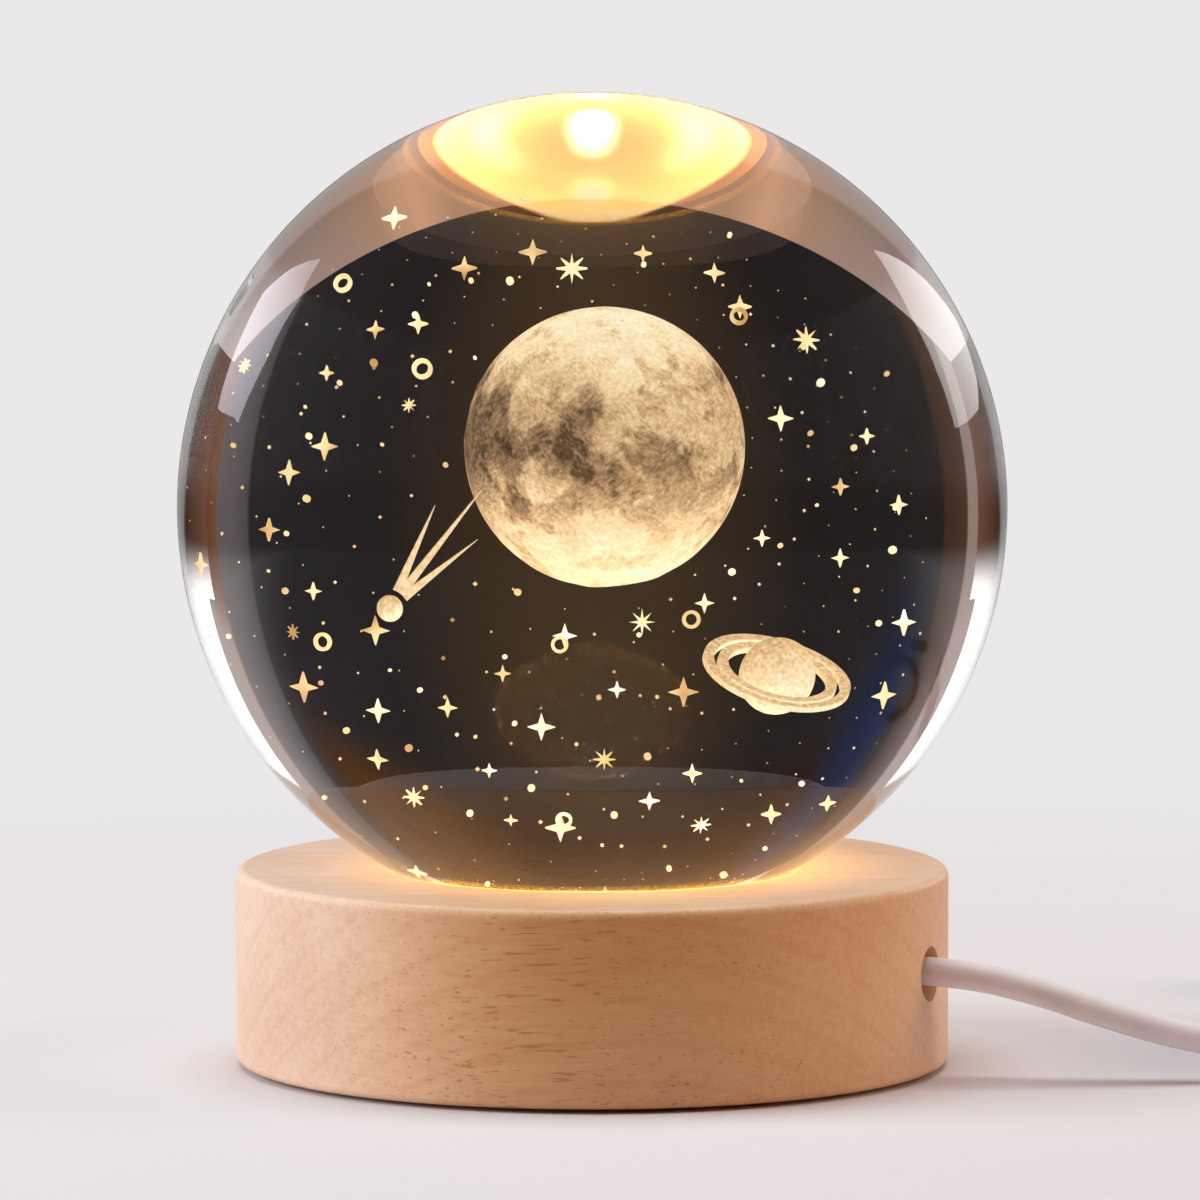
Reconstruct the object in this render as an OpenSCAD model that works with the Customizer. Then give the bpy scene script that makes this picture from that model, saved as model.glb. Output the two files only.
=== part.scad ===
/* [Crystal ball] */
// Diameter of the crystal ball
ball_d = 80; // [74:1:90]
// Diameter of the circle where the ball meets the top of the base
seat_d = 39.4; // [38.8:0.2:44]
// Gap between the ball and its turned seat
seat_gap = 0.1; // [0.05:0.05:0.3]

/* [Wooden base] */
// Diameter of the wooden base
base_d = 68.9; // [64:0.1:90]
// Height of the wood
base_h = 18.8; // [17.5:0.1:30]
// Radius that softens the edges of the wood
edge_r = 0.8; // [0.4:0.1:2]
// Diameter of the light pocket below the seat
pocket_d = 37.2; // [36:0.2:38]
// Depth of the light pocket below the top of the base
pocket_depth = 11.8; // [11.2:0.1:14]

/* [Foot pad] */
// Diameter of the foam foot pad
pad_d = 62; // [40:1:62]
// Thickness of the foot pad
pad_t = 1.2; // [0.8:0.1:2]
// How far the foot pad stands out below the wood
pad_out = 0.4; // [0.2:0.1:0.7]

/* [Light] */
// Clearance between the LED board and the wall of the pocket
board_gap = 4.6; // [4.6:0.1:5]
// Thickness of the LED board
board_t = 1.2; // [0.8:0.1:1.4]
// Thickness of the foam spacer under the board
spacer_t = 3.2; // [2:0.1:3.4]
// How far the board stands out past its foam spacer
spacer_in = 1; // [0.5:0.5:5]
// Number of LEDs on the board
led_count = 4; // [3:1:4]
// Side of one square LED package
led_w = 5; // [4:0.1:5.4]
// Height of one LED package
led_h = 1.6; // [1:0.1:1.7]
// Distance from the middle of each LED to the edge of the board
led_in = 4.5; // [4:0.1:6]
// Diameter of the round window in an LED package
window_d = 3.8; // [2.5:0.1:3.9]
// Depth of the round window in an LED package
window_depth = 0.6; // [0.3:0.1:0.8]

/* [Cable exit] */
// Diameter of the cable
cable_d = 2.8; // [2.4:0.1:3]
// Diameter of the drilled cable hole
hole_d = 5.3; // [5:0.1:5.6]
// Height of the hole's axis above the table
hole_z = 10.25; // [10.1:0.05:11]
// Direction of the hole around the base, in degrees
hole_turn = -20; // [-21:0.5:-19]
// Width of the cable tie's band
tie_w = 2; // [1.5:0.1:2.2]
// Thickness of the cable tie's band
tie_t = 0.9; // [0.6:0.1:1.1]
// Width of the strap that holds the coil
strap_w = 4; // [3:0.5:6]
// Thickness of the strap that holds the coil
strap_t = 0.5; // [0.3:0.1:0.8]

/* [Engraving] */
// Diameter of the engraved moon
moon_d = 18.2; // [12:0.2:22]
// Thickness of the engraved layer of the moon
moon_t = 0.5; // [0.3:0.1:1]
// Diameter of the engraved ringed planet
planet_d = 5.2; // [3:0.2:7]
// Outer diameter of the planet's ring
planet_ring_d = 10.4; // [9:0.2:13]
// Diameter of the comet's head
comet_d = 1.8; // [1:0.1:3]
// Length of the comet's tail
comet_tail = 9; // [6:0.5:12]
// Number of places in the star field
star_places = 84; // [40:1:110]
// Point-to-point size of the largest engraved star
star_w = 2; // [1:0.1:2.6]
// Depth of an engraved mark
mark_t = 0.4; // [0.2:0.1:0.8]
// Number of places in the field of dots
dot_places = 110; // [40:1:140]
// Diameter of the largest engraved dot
dot_w = 0.5; // [0.3:0.05:0.8]

/* [Inline switch] */
// Length of the switch body
switch_l = 20; // [18:0.5:26]
// Width of the switch body
switch_w = 12; // [11.5:0.5:16]
// Height of the switch body
switch_h = 9; // [8.8:0.1:11]
// Wall of the switch shells
switch_wall = 1.2; // [0.8:0.1:1.3]
// Radius of the switch body's edges
switch_r = 2; // [1:0.1:2.5]
// Length of the collar at each end of the switch
collar_l = 2; // [1:0.5:4]
// Diameter of the push button
button_d = 7; // [5:0.1:7.2]
// How far the button stands up when it is released
button_up = 1.5; // [1.3:0.1:2.5]
// Travel of the button
button_travel = 1.2; // [0.6:0.1:1.2]

/* [Plug] */
// Width of the plug's metal shell
plug_w = 12; // [11:0.1:13]
// Height of the plug's metal shell
plug_h = 4.5; // [4:0.1:5]
// Length of the metal shell in front of the grip
plug_l = 12; // [11.5:0.5:14]
// Sheet thickness of the metal shell
plug_sheet = 0.3; // [0.2:0.05:0.4]
// Length of the moulded grip
grip_l = 15; // [12:1:22]
// Width of the moulded grip
grip_w = 15.6; // [14:0.2:18]
// Thickness of the moulded grip
grip_h = 8; // [7:0.1:10]
// Radius of the grip's edges
grip_r = 1.8; // [0.8:0.1:3]
// Length of the tapered cable sleeve behind the grip
sleeve_l = 7; // [4:1:12]

/* [Hidden] */
$fn = 96;

// Clearance between pieces that sit in one another
fit = 0.05;
// Small overshoot that makes a cut run past its face
cut = 0.5;

// Heights, from the table up
base_z = pad_out;
top_z = base_z + base_h;
pocket_z = top_z - pocket_depth;
board_z = pocket_z + spacer_t;
board_top = board_z + board_t;
board_d = pocket_d - 2 * board_gap;
spacer_d = board_d - 2 * spacer_in;
led_circle_d = board_d - 2 * led_in;
ball_r = ball_d / 2;
ball_z = top_z + sqrt(pow(ball_r, 2) - pow(seat_d / 2, 2));

// Conductors: radius, distance apart, and where the jacket is stripped
wire_r = 0.35;
wire_gap = 1.3;
tie_wall_gap = 0.5;
jacket_end = 0.3;
strip_r = pocket_d / 2 - tie_wall_gap - tie_w - jacket_end;
cable_z = 10.5;
solder_r = 0.8;
solder_in = 1.2;
solder_at = board_d / 2 - solder_in;

// Cable route from the light pocket to the coil, chosen by hand
lead_route = [
    [(strip_r + fit) * cos(hole_turn), (strip_r + fit) * sin(hole_turn), cable_z],
    [20.4, -7.4, 10.5], [26.1, -9.5, 10.5], [31.9, -11.6, 10.5],
    [37.5, -12.8, 9.95], [43, -13.2, 8.6], [48.5, -13.3, 6.8], [54, -13.3, 5.15],
    [60, -13.2, 3.8], [66.5, -13, 2.75], [73.5, -12.7, 2.1], [81, -12.5, 1.95],
    [89.2, -12.5, 1.95]
];
// Cable route from the coil to the switch
switch_route = [
    [94.8, -12.5, 12.15], [98, -12.5, 12.15], [102, -12.4, 11.4], [107.7, -11.3, 9.8], [113.5, -8.6, 7.8],
    [118.4, -4.2, 6.2], [121.7, 1.4, 5], [123, 7, 4.5], [123, 10, 4.5]
];
// Cable route from the switch to the plug
plug_route = [
    [123, 34, 4.5], [123, 37.5, 4.5], [121.8, 44, 4.2], [117.6, 49.4, 4], [111.4, 52, 4], [103, 52, 4]
];
cable_sides = 8;

// Coil: loops in each layer, layers, steps and place
coil_turns = 2;
coil_layers = 4;
coil_step = 3.4;
coil_rise = 3.4;
coil_out = 20.2;
coil_centre = [92, 7.7];
coil_z = 1.95;
coil_rings = 24;
coil_sides = 6;

// Places of the switch and the plug
switch_at = [123, 22];
plug_at = [103, 52, 4];
collar_r = 2.4;
flange_extra = 0.8;
flange_t = 0.75;
button_gap = 0.25;
stem_r = 1.4;
stem_gap = 0.15;
core_w = 7;
core_h = 3.8;
stem_deep = 1.2;
tab_t = 0.4;
tab_w = 1.6;
through_wire_x = 4.1;

// Places of the engraved figures in the ball, as [x, depth, z] from its centre, and how they are turned
moon_at = ball_r * [0.02, 0, 0.0975];
planet_at = ball_r * [0.305, -0.05, -0.275];
planet_tilt = [24, 22, 0];
comet_at = ball_r * [-0.3375, -0.075, -0.1625];
comet_turn = 52;
golden_angle = 137.508;
crater_turn = 48;

// Field of stars and dots: its radius, centre, depth, the turn of the dots and the room round the figures
field_r = 0.6 * ball_r;
field_at = ball_r * [-0.05, -0.1];
field_depth = 0.2 * ball_r;
dots_turn = 77;
moon_room = 1.6;
planet_room = 0.8;

function unit(v) = v / norm(v);

// Direction of a route at point i
function along(pts, i) = unit(pts[min(i + 1, len(pts) - 1)] - pts[max(i - 1, 0)]);

// One ring of points square to the route, starting level with its side
function ring(p, t, r, n) =
    let (side = unit(cross(t, [0, 0, 1])), up = cross(side, t))
    [for (k = [0:n - 1]) p + r * (cos(360 * k / n) * side + sin(360 * k / n) * up)];

// A closed tube along a list of points
module tube(pts, r, n) {
    last = len(pts) - 1;
    points = [for (i = [0:last]) each ring(pts[i], along(pts, i), r, n)];
    walls = [
        for (i = [0:last - 1], k = [0:n - 1])
            let (a = i * n + k, b = i * n + (k + 1) % n)
            each [[a, b, b + n], [a, b + n, a + n]]
    ];
    ends = [[for (k = [0:n - 1]) n - 1 - k], [for (k = [0:n - 1]) last * n + k]];
    polyhedron(points = points, faces = concat(walls, ends), convexity = 10);
}

// Radius of the coil after t turns: in on even layers, out again on odd ones
function coil_radius(t) =
    let (layer = min(floor(t / coil_turns), coil_layers - 1), part = t - layer * coil_turns)
    layer % 2 == 0 ? coil_out - coil_step * part : coil_out - coil_step * (coil_turns - part);

// Height of the coil after t turns: one layer in each half turn where the spiral reverses
function coil_height(t, layer = 1) =
    layer == coil_layers ? coil_z
    : coil_rise * min(max((t - coil_turns * layer + 0.25) / 0.5, 0), 1) + coil_height(t, layer + 1);

function coil_point(t) =
    [
        coil_centre[0] + coil_radius(t) * sin(360 * t),
        coil_centre[1] - coil_radius(t) * cos(360 * t),
        coil_height(t)
    ];

coil_all = coil_turns * coil_layers;
coil_loops = [for (i = [0:coil_all * coil_rings]) coil_point(i / coil_rings)];
coil_route = concat(
    [coil_loops[0] - [cable_d, 0, 0]], coil_loops, [coil_loops[len(coil_loops) - 1] + [cable_d, 0, 0]]
);
coil_gap = min([
    for (i = [0:len(coil_loops) - 1], j = [i + coil_rings / 2:len(coil_loops) - 1])
        norm(coil_loops[i] - coil_loops[j])
]) - cable_d;

// Length of a route
function route_length(pts) =
    let (steps = [for (i = [1:len(pts) - 1]) norm(pts[i] - pts[i - 1])]) steps * [for (s = steps) 1];

cable_length = route_length(lead_route) + route_length(coil_route)
    + route_length(switch_route) + route_length(plug_route);

echo(str("Least gap of the coil to itself: ", coil_gap, " mm"));
echo(str("Length of the cable: ", cable_length, " mm"));

// Places something along the cable hole's direction
module at_hole(r, z) {
    rotate([0, 0, hole_turn])
        translate([r, 0, z])
            children();
}

// Half outline of a disc with softened edges
function soft_disc(r, h, e, n = 8) =
    concat(
        [[0, 0]],
        [for (k = [0:n]) [r - e + e * sin(90 * k / n), e - e * cos(90 * k / n)]],
        [for (k = [0:n]) [r - e + e * cos(90 * k / n), h - e + e * sin(90 * k / n)]],
        [[0, h]]
    );

module wooden_base() {
    color("burlywood")
        difference() {
            translate([0, 0, base_z])
                rotate_extrude()
                    polygon(soft_disc(base_d / 2, base_h, edge_r));
            translate([0, 0, pocket_z])
                cylinder(d = pocket_d, h = pocket_depth + cut);
            translate([0, 0, ball_z])
                sphere(r = ball_r + seat_gap);
            at_hole(pocket_d / 4, hole_z)
                rotate([0, 90, 0])
                    cylinder(d = hole_d, h = base_d / 2);
            translate([0, 0, base_z - cut])
                cylinder(d = pad_d + 2 * fit, h = pad_t - pad_out + cut);
        }
}

module foot_pad() {
    color("dimgray")
        cylinder(d = pad_d, h = pad_t);
}

module board_spacer() {
    color("gray")
        translate([0, 0, pocket_z])
            cylinder(d = spacer_d, h = spacer_t);
}

module led_board() {
    color("whitesmoke")
        translate([0, 0, board_z])
            cylinder(d = board_d, h = board_t);
}

// Repeats its children at each LED
module at_leds() {
    for (k = [0:led_count - 1])
        rotate([0, 0, 360 * k / led_count])
            translate([led_circle_d / 2, 0, board_top])
                children();
}

module led_bodies() {
    color("white")
        at_leds()
            difference() {
                translate([-led_w / 2, -led_w / 2, 0])
                    cube([led_w, led_w, led_h]);
                translate([0, 0, led_h - window_depth])
                    cylinder(d = window_d, h = window_depth + cut);
            }
}

module led_windows() {
    color("gold")
        at_leds()
            translate([0, 0, led_h - window_depth])
                cylinder(d = window_d - 2 * fit, h = window_depth);
}

module chip_resistors() {
    chip = [1.6, 3.2, 0.6];
    color("black")
        for (k = [1:2])
            rotate([0, 0, 180 / led_count + 360 * k / led_count])
                translate([led_circle_d / 2 - chip[0] / 2, -chip[1] / 2, board_top])
                    cube(chip);
}

// Repeats its children at the two conductors, side by side across the cable
module at_wires() {
    for (side = [-1, 1])
        rotate([0, 0, hole_turn])
            translate([0, side * wire_gap / 2, 0])
                children();
}

module solder_joints() {
    color("silver")
        at_wires()
            translate([solder_at, 0, board_top])
                intersection() {
                    sphere(r = solder_r * 0.8, $fn = 32);
                    translate([-solder_r, -solder_r, 0])
                        cube(2 * solder_r);
                }
}

// A straight round wire between two points, with a rounded end
module wire(a, b, r = wire_r) {
    v = b - a;
    translate(a)
        rotate([0, acos(v[2] / norm(v)), atan2(v[1], v[0])])
            cylinder(r = r, h = norm(v), $fn = 24);
    translate(b)
        sphere(r = r, $fn = 24);
}

module core_wires() {
    lip = board_d / 2 + wire_r + 0.2;
    over = board_top + wire_r + fit;
    path = [
        [strip_r, 0, cable_z], [lip, 0, cable_z + 0.3], [lip, 0, over],
        [solder_at + wire_r, 0, over]
    ];
    color("firebrick")
        at_wires()
            for (i = [0:len(path) - 2])
                wire(path[i], path[i + 1]);
}

module cable_tie() {
    outer = cable_d / 2 + fit + tie_t;
    head = [3, 4.2, 2.4];
    middle = pocket_d / 2 - tie_wall_gap - tie_w / 2;
    color("white")
        at_hole(middle, cable_z)
            difference() {
                union() {
                    rotate([0, 90, 0])
                        cylinder(r = outer, h = tie_w, center = true);
                    translate([-tie_w / 2, -head[1] / 2, outer - tie_t])
                        cube([tie_w, head[1], head[2]]);
                }
                rotate([0, 90, 0])
                    cylinder(r = cable_d / 2 + fit, h = tie_w + 2 * cut, center = true);
            }
}

module crystal_ball() {
    color("lightcyan", 0.35)
        translate([0, 0, ball_z])
            sphere(d = ball_d, $fn = 180);
}

// Places something in the ball, from its centre
module in_ball(p) {
    translate([0, 0, ball_z])
        translate(p)
            children();
}

// Tilt of crater k from the moon's axis: a golden spiral that stays off the poles
function crater_tilt(k, n) = acos(0.86 * (1 - 2 * (k + 0.5) / n));

module engraved_moon() {
    craters = 18;
    r = moon_d / 2;
    color("wheat")
        in_ball(moon_at)
            difference() {
                sphere(r = r);
                sphere(r = r - moon_t);
                for (k = [0:craters - 1])
                    let (size = moon_d * (0.05 + 0.025 * (k * 7 % 5)))
                    rotate([0, crater_tilt(k, craters), crater_turn + k * golden_angle])
                        translate([0, 0, r + size - moon_t / 2])
                            sphere(r = size, $fn = 32);
            }
}

module engraved_planet() {
    inner = planet_d / 2 + 0.9;
    color("wheat")
        in_ball(planet_at)
            rotate(planet_tilt) {
                sphere(d = planet_d, $fn = 48);
                for (band = [0, 1])
                    let (w = (planet_ring_d / 2 - inner - 0.3) / 2, a = inner + band * (w + 0.3))
                    rotate_extrude()
                        translate([a, -mark_t / 2])
                            square([w, mark_t]);
            }
}

module engraved_comet() {
    color("wheat")
        in_ball(comet_at)
            rotate([0, -comet_turn, 0]) {
                sphere(d = comet_d, $fn = 32);
                for (k = [-1:1])
                    rotate([90, 14 * k, 0])
                        translate([comet_d * 0.7, 0, -mark_t / 2])
                            linear_extrude(mark_t)
                                polygon([
                                    [0, -comet_d / 6], [comet_tail * (1 - 0.3 * abs(k)), 0],
                                    [0, comet_d / 6]
                                ]);
            }
}

// Place i of n in a field that a sunflower spiral fills, as [x, depth, z] from the ball's centre
function field_place(i, n, turn) =
    let (r = field_r * sqrt((i + 0.5) / n), a = i * golden_angle + turn)
    [field_at[0] + r * cos(a), field_depth * sin(i * 71), field_at[1] + r * sin(a)];

// Distance of a place from a figure, seen from the front
function off(p, q) = norm([p[0] - q[0], p[2] - q[2]]);

// Whether a place is inside the ball's clear view and free of the figures
function is_free(p) =
    norm(p) < 0.66 * ball_r && off(p, moon_at) > moon_d / 2 + moon_room
    && off(p, planet_at) > planet_ring_d / 2 + planet_room
    && off(p, comet_at + 0.5 * comet_tail * [cos(comet_turn), 0, sin(comet_turn)])
        > 0.5 * comet_tail + comet_d;

// Outline of a star with n points
function star_outline(w, n, waist) =
    [
        for (k = [0:2 * n - 1])
            let (r = (k % 2 == 0 ? 0.5 : 0.5 * waist) * w) [r * sin(180 * k / n), r * cos(180 * k / n)]
    ];

// A flat mark that faces the front
module mark(p) {
    in_ball(p)
        rotate([90, 0, 0])
            linear_extrude(mark_t, center = true)
                children();
}

module engraved_stars() {
    color("wheat")
        for (i = [0:star_places - 1])
            let (p = field_place(i, star_places, 0), w = star_w * (0.5 + 0.5 * (i * 5 % 7) / 6))
            if (is_free(p))
                mark(p)
                    polygon(i % 6 == 5 ? star_outline(w, 8, 0.3) : star_outline(w, 4, 0.34));
}

module engraved_dots() {
    color("wheat")
        for (i = [0:dot_places - 1])
            let (p = field_place(i, dot_places, dots_turn), w = dot_w * (0.5 + 0.5 * (i * 3 % 5) / 4))
            if (is_free(p))
                mark(p)
                    if (i % 11 == 4)
                        difference() {
                            circle(d = 2.4 * dot_w, $fn = 24);
                            circle(d = 1.5 * dot_w, $fn = 24);
                        }
                    else
                        circle(d = w, $fn = 8);
}

module cable_lead() {
    color("snow")
        tube(lead_route, cable_d / 2, cable_sides);
}

module cable_coil() {
    color("snow")
        tube(coil_route, cable_d / 2, coil_sides);
}

// Strap round all the turns, where the layers lie in line on the far side, with its end lapped on top
module coil_strap() {
    side_gap = 0.3;
    near = coil_centre[1] + coil_radius(coil_turns - 0.5) - cable_d / 2 - side_gap;
    far = coil_centre[1] + coil_radius(0.5) + cable_d / 2 + side_gap;
    low = coil_z - cable_d / 2 - fit;
    high = coil_z + coil_rise * (coil_layers - 1) + cable_d / 2 + fit;
    lap = 5;
    color("gainsboro")
        translate([coil_centre[0], 0, 0])
            rotate([90, 0, 90])
                linear_extrude(strap_w, center = true) {
                    difference() {
                        strap_outline(near - strap_t, low - strap_t, far + strap_t, high + strap_t,
                                      cable_d / 2 + strap_t);
                        strap_outline(near, low, far, high, cable_d / 2);
                    }
                    translate([far - lap, high + strap_t])
                        square([lap - cable_d / 2, strap_t]);
                }
}

// A rectangle with round corners between two opposite corner points
module strap_outline(x0, y0, x1, y1, r) {
    hull()
        for (x = [x0 + r, x1 - r], y = [y0 + r, y1 - r])
            translate([x, y])
                circle(r = r, $fn = 32);
}

module switch_lead() {
    color("snow")
        tube(switch_route, cable_d / 2, cable_sides);
}

module plug_lead() {
    color("snow")
        tube(plug_route, cable_d / 2, cable_sides);
}

// Puts something in the switch's own frame: y along the cable, z from the table
module at_switch() {
    translate([switch_at[0], switch_at[1], 0])
        children();
}

// Upper half of the switch body, from its split plane up
module switch_half(w, l, h, r) {
    hull()
        for (x = [-1, 1], y = [-1, 1])
            translate([x * (w / 2 - r), y * (l / 2 - r), 0]) {
                cylinder(r = r, h = 0.2, $fn = 24);
                translate([0, 0, h - r])
                    sphere(r = r, $fn = 24);
            }
}

// One shell: a half body with its collars and its hollow
module switch_shell() {
    h = switch_h / 2;
    difference() {
        union() {
            switch_half(switch_w, switch_l, h, switch_r);
            intersection() {
                rotate([90, 0, 0])
                    cylinder(r = collar_r, h = switch_l + 2 * collar_l, center = true);
                translate([-switch_w / 2, -switch_l, 0])
                    cube([switch_w, 2 * switch_l, h]);
            }
        }
        translate([-switch_w / 2 + switch_wall, -switch_l / 2 + switch_wall, -cut])
            cube([switch_w - 2 * switch_wall, switch_l - 2 * switch_wall, h - switch_wall + cut]);
    }
}

module switch_lower_shell() {
    color("snow")
        at_switch()
            translate([0, 0, switch_h / 2])
                mirror([0, 0, 1])
                    switch_shell();
}

module switch_upper_shell() {
    color("snow")
        at_switch()
            difference() {
                translate([0, 0, switch_h / 2])
                    switch_shell();
                cylinder(d = button_d + 2 * button_gap, h = switch_h + cut);
            }
}

module switch_button() {
    flange_top = switch_h - switch_wall - fit;
    flange_z = flange_top - flange_t;
    core_top = switch_wall + core_h;
    color("gainsboro")
        at_switch() {
            translate([0, 0, flange_z])
                cylinder(d = button_d, h = switch_h + button_up - flange_z);
            translate([0, 0, flange_z])
                cylinder(d = button_d + 2 * flange_extra, h = flange_t);
            translate([0, 0, core_top - stem_deep])
                cylinder(r = stem_r, h = flange_z - core_top + stem_deep);
        }
}

module switch_core() {
    color("dimgray")
        at_switch()
            difference() {
                translate([-core_w / 2, -core_w / 2, switch_wall])
                    cube([core_w, core_w, core_h]);
                translate([0, 0, switch_wall + core_h - stem_deep - button_travel - fit])
                    cylinder(r = stem_r + stem_gap, h = core_h);
            }
}

module switch_terminals() {
    color("goldenrod")
        at_switch()
            for (side = [-1, 1])
                translate([-tab_w / 2, side * (core_w + tab_t) / 2 - tab_t / 2, switch_wall])
                    cube([tab_w, tab_t, core_h - 1]);
}

module switch_wires() {
    inside = switch_l / 2 - switch_wall;
    tab = core_w / 2 + tab_t;
    color("firebrick")
        at_switch() {
            translate([through_wire_x, inside, switch_h / 2])
                rotate([90, 0, 0])
                    cylinder(r = wire_r, h = 2 * inside, $fn = 24);
            for (side = [-1, 1])
                translate([0, side * (tab + inside) / 2, switch_wall + 2])
                    rotate([90, 0, 0])
                        cylinder(r = wire_r, h = inside - tab, center = true, $fn = 24);
        }
}

// Puts something in the plug's own frame: x towards the socket, from the end of the cable
module at_plug() {
    translate(plug_at)
        rotate([0, 0, 180])
            children();
}

module plug_grip() {
    color("snow")
        at_plug() {
            rotate([0, 90, 0])
                cylinder(r1 = collar_r - 0.4, r2 = collar_r + 1, h = sleeve_l + grip_r);
            hull()
                for (x = [sleeve_l + grip_r, sleeve_l + grip_l], y = [-1, 1], z = [-1, 1])
                    translate([x, y * (grip_w / 2 - grip_r), z * (grip_h / 2 - grip_r)])
                        if (x > sleeve_l + grip_r)
                            rotate([0, -90, 0])
                                cylinder(r = grip_r, h = 0.2, $fn = 24);
                        else
                            sphere(r = grip_r, $fn = 24);
        }
}

module plug_shell() {
    window = [2, 2.4];
    window_in = 6.2;
    front = sleeve_l + grip_l;
    color("silver")
        at_plug()
            difference() {
                translate([front, -plug_w / 2, -plug_h / 2])
                    cube([plug_l, plug_w, plug_h]);
                translate([front - cut, -plug_w / 2 + plug_sheet, -plug_h / 2 + plug_sheet])
                    cube([plug_l + 2 * cut, plug_w - 2 * plug_sheet, plug_h - 2 * plug_sheet]);
                for (side = [-1, 1])
                    translate([front + plug_l - window_in, side * plug_w / 4 - window[1] / 2, -plug_h])
                        cube([window[0], window[1], 2 * plug_h]);
            }
}

// The tongue fills the lower part of the shell
module plug_tongue() {
    front = sleeve_l + grip_l;
    room = plug_h - 2 * plug_sheet;
    color("white")
        at_plug()
            translate([front, -plug_w / 2 + plug_sheet + fit, -room / 2 + fit])
                cube([plug_l - 0.6, plug_w - 2 * plug_sheet - 2 * fit, room / 2 - 0.1]);
}

module plug_contacts() {
    front = sleeve_l + grip_l;
    pitch = 2.3;
    strip = [8, 1, 0.15];
    top = fit - 0.1;
    color("goldenrod")
        at_plug()
            for (k = [-1.5, -0.5, 0.5, 1.5])
                translate([front + plug_l - 1.2 - strip[0], k * pitch - strip[1] / 2, top])
                    cube([strip[0] - (abs(k) < 1 ? 1 : 0), strip[1], strip[2]]);
}

wooden_base();
foot_pad();
board_spacer();
led_board();
led_bodies();
led_windows();
chip_resistors();
solder_joints();
core_wires();
cable_tie();
crystal_ball();
engraved_moon();
engraved_planet();
engraved_comet();
engraved_stars();
engraved_dots();
cable_lead();
cable_coil();
coil_strap();
switch_lead();
plug_lead();
switch_lower_shell();
switch_upper_shell();
switch_button();
switch_core();
switch_terminals();
switch_wires();
plug_grip();
plug_shell();
plug_tongue();
plug_contacts();
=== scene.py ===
"""Crystal ball lamp: an engraved crystal ball on a turned wooden LED base, with its lead, switch and plug."""
import math

import bpy
import numpy as np
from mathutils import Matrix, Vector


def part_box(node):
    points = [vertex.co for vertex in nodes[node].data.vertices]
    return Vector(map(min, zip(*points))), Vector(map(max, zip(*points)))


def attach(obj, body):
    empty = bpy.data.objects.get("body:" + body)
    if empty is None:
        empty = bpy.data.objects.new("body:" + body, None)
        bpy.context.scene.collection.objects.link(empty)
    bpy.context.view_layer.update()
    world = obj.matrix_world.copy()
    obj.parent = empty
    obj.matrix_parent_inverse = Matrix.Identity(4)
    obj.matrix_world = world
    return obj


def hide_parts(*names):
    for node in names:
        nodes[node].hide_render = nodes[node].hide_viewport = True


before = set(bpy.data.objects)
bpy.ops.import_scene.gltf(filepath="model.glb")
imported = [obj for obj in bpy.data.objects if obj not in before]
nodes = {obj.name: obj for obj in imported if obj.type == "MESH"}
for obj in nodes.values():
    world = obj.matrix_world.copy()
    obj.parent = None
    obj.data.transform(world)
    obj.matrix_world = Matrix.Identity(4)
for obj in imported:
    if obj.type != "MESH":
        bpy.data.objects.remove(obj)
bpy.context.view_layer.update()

MM = 0.001
BALL_R = 40 * MM
BALL_Z = 0.5 * (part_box("crystal_ball")[0].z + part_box("crystal_ball")[1].z)
WOOD_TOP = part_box("wooden_base")[1].z
SEAT_R = math.sqrt(BALL_R**2 - (BALL_Z - WOOD_TOP) ** 2)
CABLE_D = 2.8 * MM
CRYSTAL_IOR = 1.517
# Rows of quads from pole to pole. There are twice as many round the equator
BALL_ROWS = 160
MOON_ROWS = 200
GOLDEN_ANGLE = math.radians(137.508)
CRATERS = 90
# As shares of a crater's radius
BOWL_DEPTH = 0.025
RIM_HEIGHT = 0.018
DUST_MARKS = 420
DUST_R = 26 * MM
DUST_DEPTH = 11 * MM
SEAT_GLINTS = 260
# Strengths of the light that the LEDs and the pocket under the ball give off
LED_LIGHT = 110.0
POCKET_LIGHT = 8.5

# Camera, at the photograph's viewing angle
scene = bpy.context.scene
camera = bpy.data.objects.new("camera", bpy.data.cameras.new("camera"))
scene.collection.objects.link(camera)
camera.data.sensor_width = 36
camera.data.lens = 304
camera.data.clip_end = 20
camera.location = (0, -0.9732, 0.14)
camera.rotation_euler = (math.radians(90 - 5.573), 0, math.radians(-0.044))
scene.camera = camera
scene.view_settings.view_transform = "Standard"


# Helpers for meshes
def mesh_object(name, points, faces):
    """A mesh object in the scene, from its points and faces."""
    data = bpy.data.meshes.new(name)
    data.from_pydata([tuple(p) for p in points], [], [tuple(f) for f in faces])
    piece = bpy.data.objects.new(name, data)
    scene.collection.objects.link(piece)
    return piece


def mesh_piece(name, points, faces, body, slot, smooth=True):
    """A mesh object that rides on a body."""
    piece = mesh_object(name, points, faces)
    piece.data.polygons.foreach_set("use_smooth", np.full(len(piece.data.polygons), smooth))
    piece.data.update()
    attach(piece, body)
    return piece


def grid_faces(rows, columns):
    """Quads between neighbouring rows of points, closed round each row, that face away from their axis."""
    i, j = np.meshgrid(np.arange(rows - 1), np.arange(columns), indexing="ij")
    here, side = i * columns + j, i * columns + (j + 1) % columns
    return np.stack([here, side, side + columns, here + columns], -1).reshape(-1, 4)


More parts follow.
